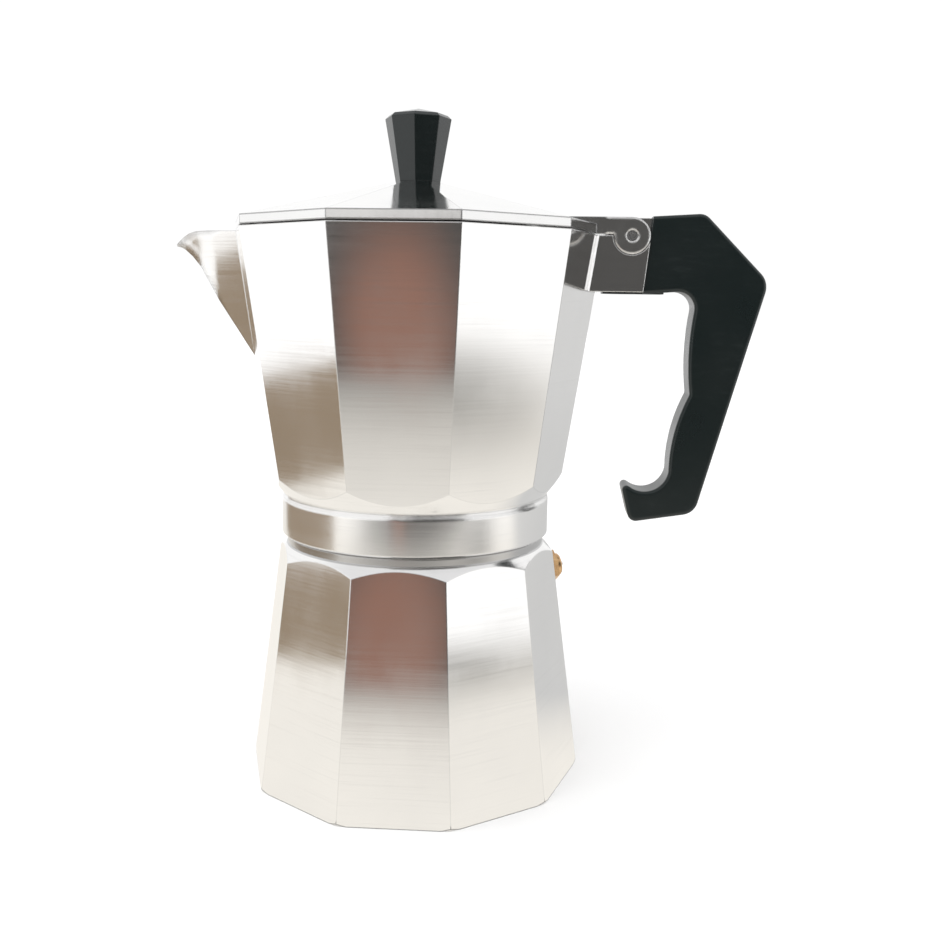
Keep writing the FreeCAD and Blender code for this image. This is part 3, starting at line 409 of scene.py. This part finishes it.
def build_table_card():
    """The table top as polish sees it: bright round the pot, greyer to the front."""
    g = Glow("table_glow")
    x, y, _ = g.split(g.object_place)
    # The nearer the front edge of the table, the dimmer, but only in front of the pot.
    front = g.ramp(g.remap(y, -0.40, -0.05, 0.0, 1.0), [
        (0.0, 0.28), (0.06, 0.33), (0.17, 0.50), (0.30, 0.66), (0.42, 0.74), (0.60, 0.87), (1.0, 0.93),
    ])
    from_left = g.remap(x, -0.36, -0.22, 0.0, 1.0)
    from_right = g.remap(x, 0.30, 0.50, 1.0, 0.0)
    front = g.mix(g.math("SMOOTH_MIN", from_left, from_right, 0.1), grey(1.0), front)
    # Warm white near the pot, neutral and brighter further out.
    distance = g.vector("LENGTH", g.object_place)
    colour = g.mix(g.remap(distance, 0.36, 0.60, 0.0, 1.0), rgb(1.03, 0.995, 0.93), grey(1.2))
    # One painted soft shadow to the front right, and a greyer quarter of painted shadow to the back
    # right, where the pot's shadow falls.
    shadow = g.math("MULTIPLY", g.blob((0.34, -0.20, 0.0), (0.17, 0.13, 1.0), 0.1, 1.1), 0.58)
    colour = g.mix(shadow, colour, grey(0.0))
    back_right_shadow = g.math("MULTIPLY", g.remap(x, 0.02, 0.10, 0.0, 1.0), g.remap(y, 0.00, 0.06, 0.0, 1.0))
    colour = g.mix(back_right_shadow, colour, rgb(0.70, 0.70, 0.695))
    g.link(g.vector("MULTIPLY", colour, front), g.emission.inputs["Color"])
    # Just above the floor, so that polish meets the card first.
    card("table_card", level(3.0, 0.0002), ONE_FACE, g.material)


def build_room_card():
    """The dim room in front of the pot, with something warm and brown standing on the table."""
    g = Glow("room_glow")
    x, _, z = g.split(g.object_place)
    card_y = -0.39
    warm = g.blob((-0.047, card_y, 0.03), (0.040, 1.0, 0.072), 0.45, 1.25)
    colour = g.mix(warm, rgb(0.085, 0.083, 0.080), rgb(0.305, 0.165, 0.125))
    # Light wall above the brown thing.
    wall = g.math("MULTIPLY", g.remap(z, 0.180, 0.190, 0.0, 1.0), g.remap(x, 0.00, 0.05, 1.0, 0.0))
    colour = g.mix(wall, colour, rgb(0.75, 0.74, 0.73))
    g.link(colour, g.emission.inputs["Color"])
    card("room_card", upright(-0.10, card_y, 0.46, card_y, 0.42), ONE_FACE, g.material)


def build_khaki_card():
    """A low khaki box to the left: its side and its top."""
    g = Glow("khaki_glow")
    cloud = g.noise(14.0, detail=2.0)
    colour = g.mix(cloud, rgb(0.34, 0.265, 0.19), rgb(0.31, 0.24, 0.17))
    g.link(colour, g.emission.inputs["Color"])
    near_x, far_x = -0.286, -0.330
    front_y, back_y = -0.155, 0.25
    top_z = 0.052
    corners = upright(near_x, back_y, near_x, front_y, top_z)
    corners += [(far_x, front_y, top_z), (far_x, back_y, top_z)]
    card("khaki_card", corners, [(0, 1, 2, 3), (3, 2, 4, 5)], g.material)


def build_sky():
    """White round the horizon and a little dimmer overhead."""
    world = bpy.data.worlds.new("studio")
    bpy.context.scene.world = world
    world.use_nodes = True
    tree = world.node_tree
    background = tree.nodes["Background"]
    direction = tree.nodes.new("ShaderNodeTexCoord")
    split = tree.nodes.new("ShaderNodeSeparateXYZ")
    ramp = tree.nodes.new("ShaderNodeValToRGB")
    tree.links.new(direction.outputs["Generated"], split.inputs[0])
    tree.links.new(split.outputs["Z"], ramp.inputs["Fac"])
    tree.links.new(ramp.outputs["Color"], background.inputs["Color"])
    ramp.color_ramp.interpolation = "EASE"
    horizon, overhead = ramp.color_ramp.elements
    horizon.position = 0.58
    horizon.color = grey(1.0)
    overhead.position = 0.86
    overhead.color = rgb(0.80, 0.80, 0.81)
    background.inputs["Strength"].default_value = 1.02


def direction_to(heading, height):
    """The unit vector at this heading round Z and this height over the horizon, in degrees."""
    heading = math.radians(heading)
    height = math.radians(height)
    return Vector((
        math.cos(heading) * math.cos(height),
        math.sin(heading) * math.cos(height),
        math.sin(height),
    ))


def build_lamp(name, heading, height, spread, strength):
    """A far, wide and soft lamp, which polish doesn't mirror. Angles are in degrees."""
    light = bpy.data.lights.new(name, "SUN")
    light.angle = math.radians(spread)
    light.energy = strength
    lamp = bpy.data.objects.new(name, light)
    bpy.context.scene.collection.objects.link(lamp)
    lamp.location = direction_to(heading, height)
    lamp.rotation_euler = lamp.location.to_track_quat("Z", "Y").to_euler()
    lamp.visible_glossy = False


build_floor()
build_table_card()
build_room_card()
build_khaki_card()
build_sky()
build_lamp("key", heading=235.0, height=68.0, spread=70.0, strength=1.5)


# ------------------------------------------------------------------------------------------
# Camera
# ------------------------------------------------------------------------------------------

SENSOR_WIDTH = 36.0  # millimetres, as the lens


def build_camera(place, heading, drop, roll, lens):
    """A camera that looks along a heading round Z, down by drop and turned by roll, in degrees."""
    data = bpy.data.cameras.new("camera")
    camera = bpy.data.objects.new("camera", data)
    bpy.context.scene.collection.objects.link(camera)
    bpy.context.scene.camera = camera
    data.lens = lens
    data.sensor_width = SENSOR_WIDTH
    data.clip_start = 0.01
    camera.location = place
    camera.rotation_mode = "QUATERNION"
    looking = direction_to(heading, -drop).to_track_quat("-Z", "Y")
    camera.rotation_quaternion = looking @ Quaternion((0, 0, 1), math.radians(roll))


build_camera((0.0376, -0.3220, 0.1457), heading=93.54, drop=9.14, roll=0.87, lens=39.92)
bpy.context.scene.view_settings.view_transform = "Standard"
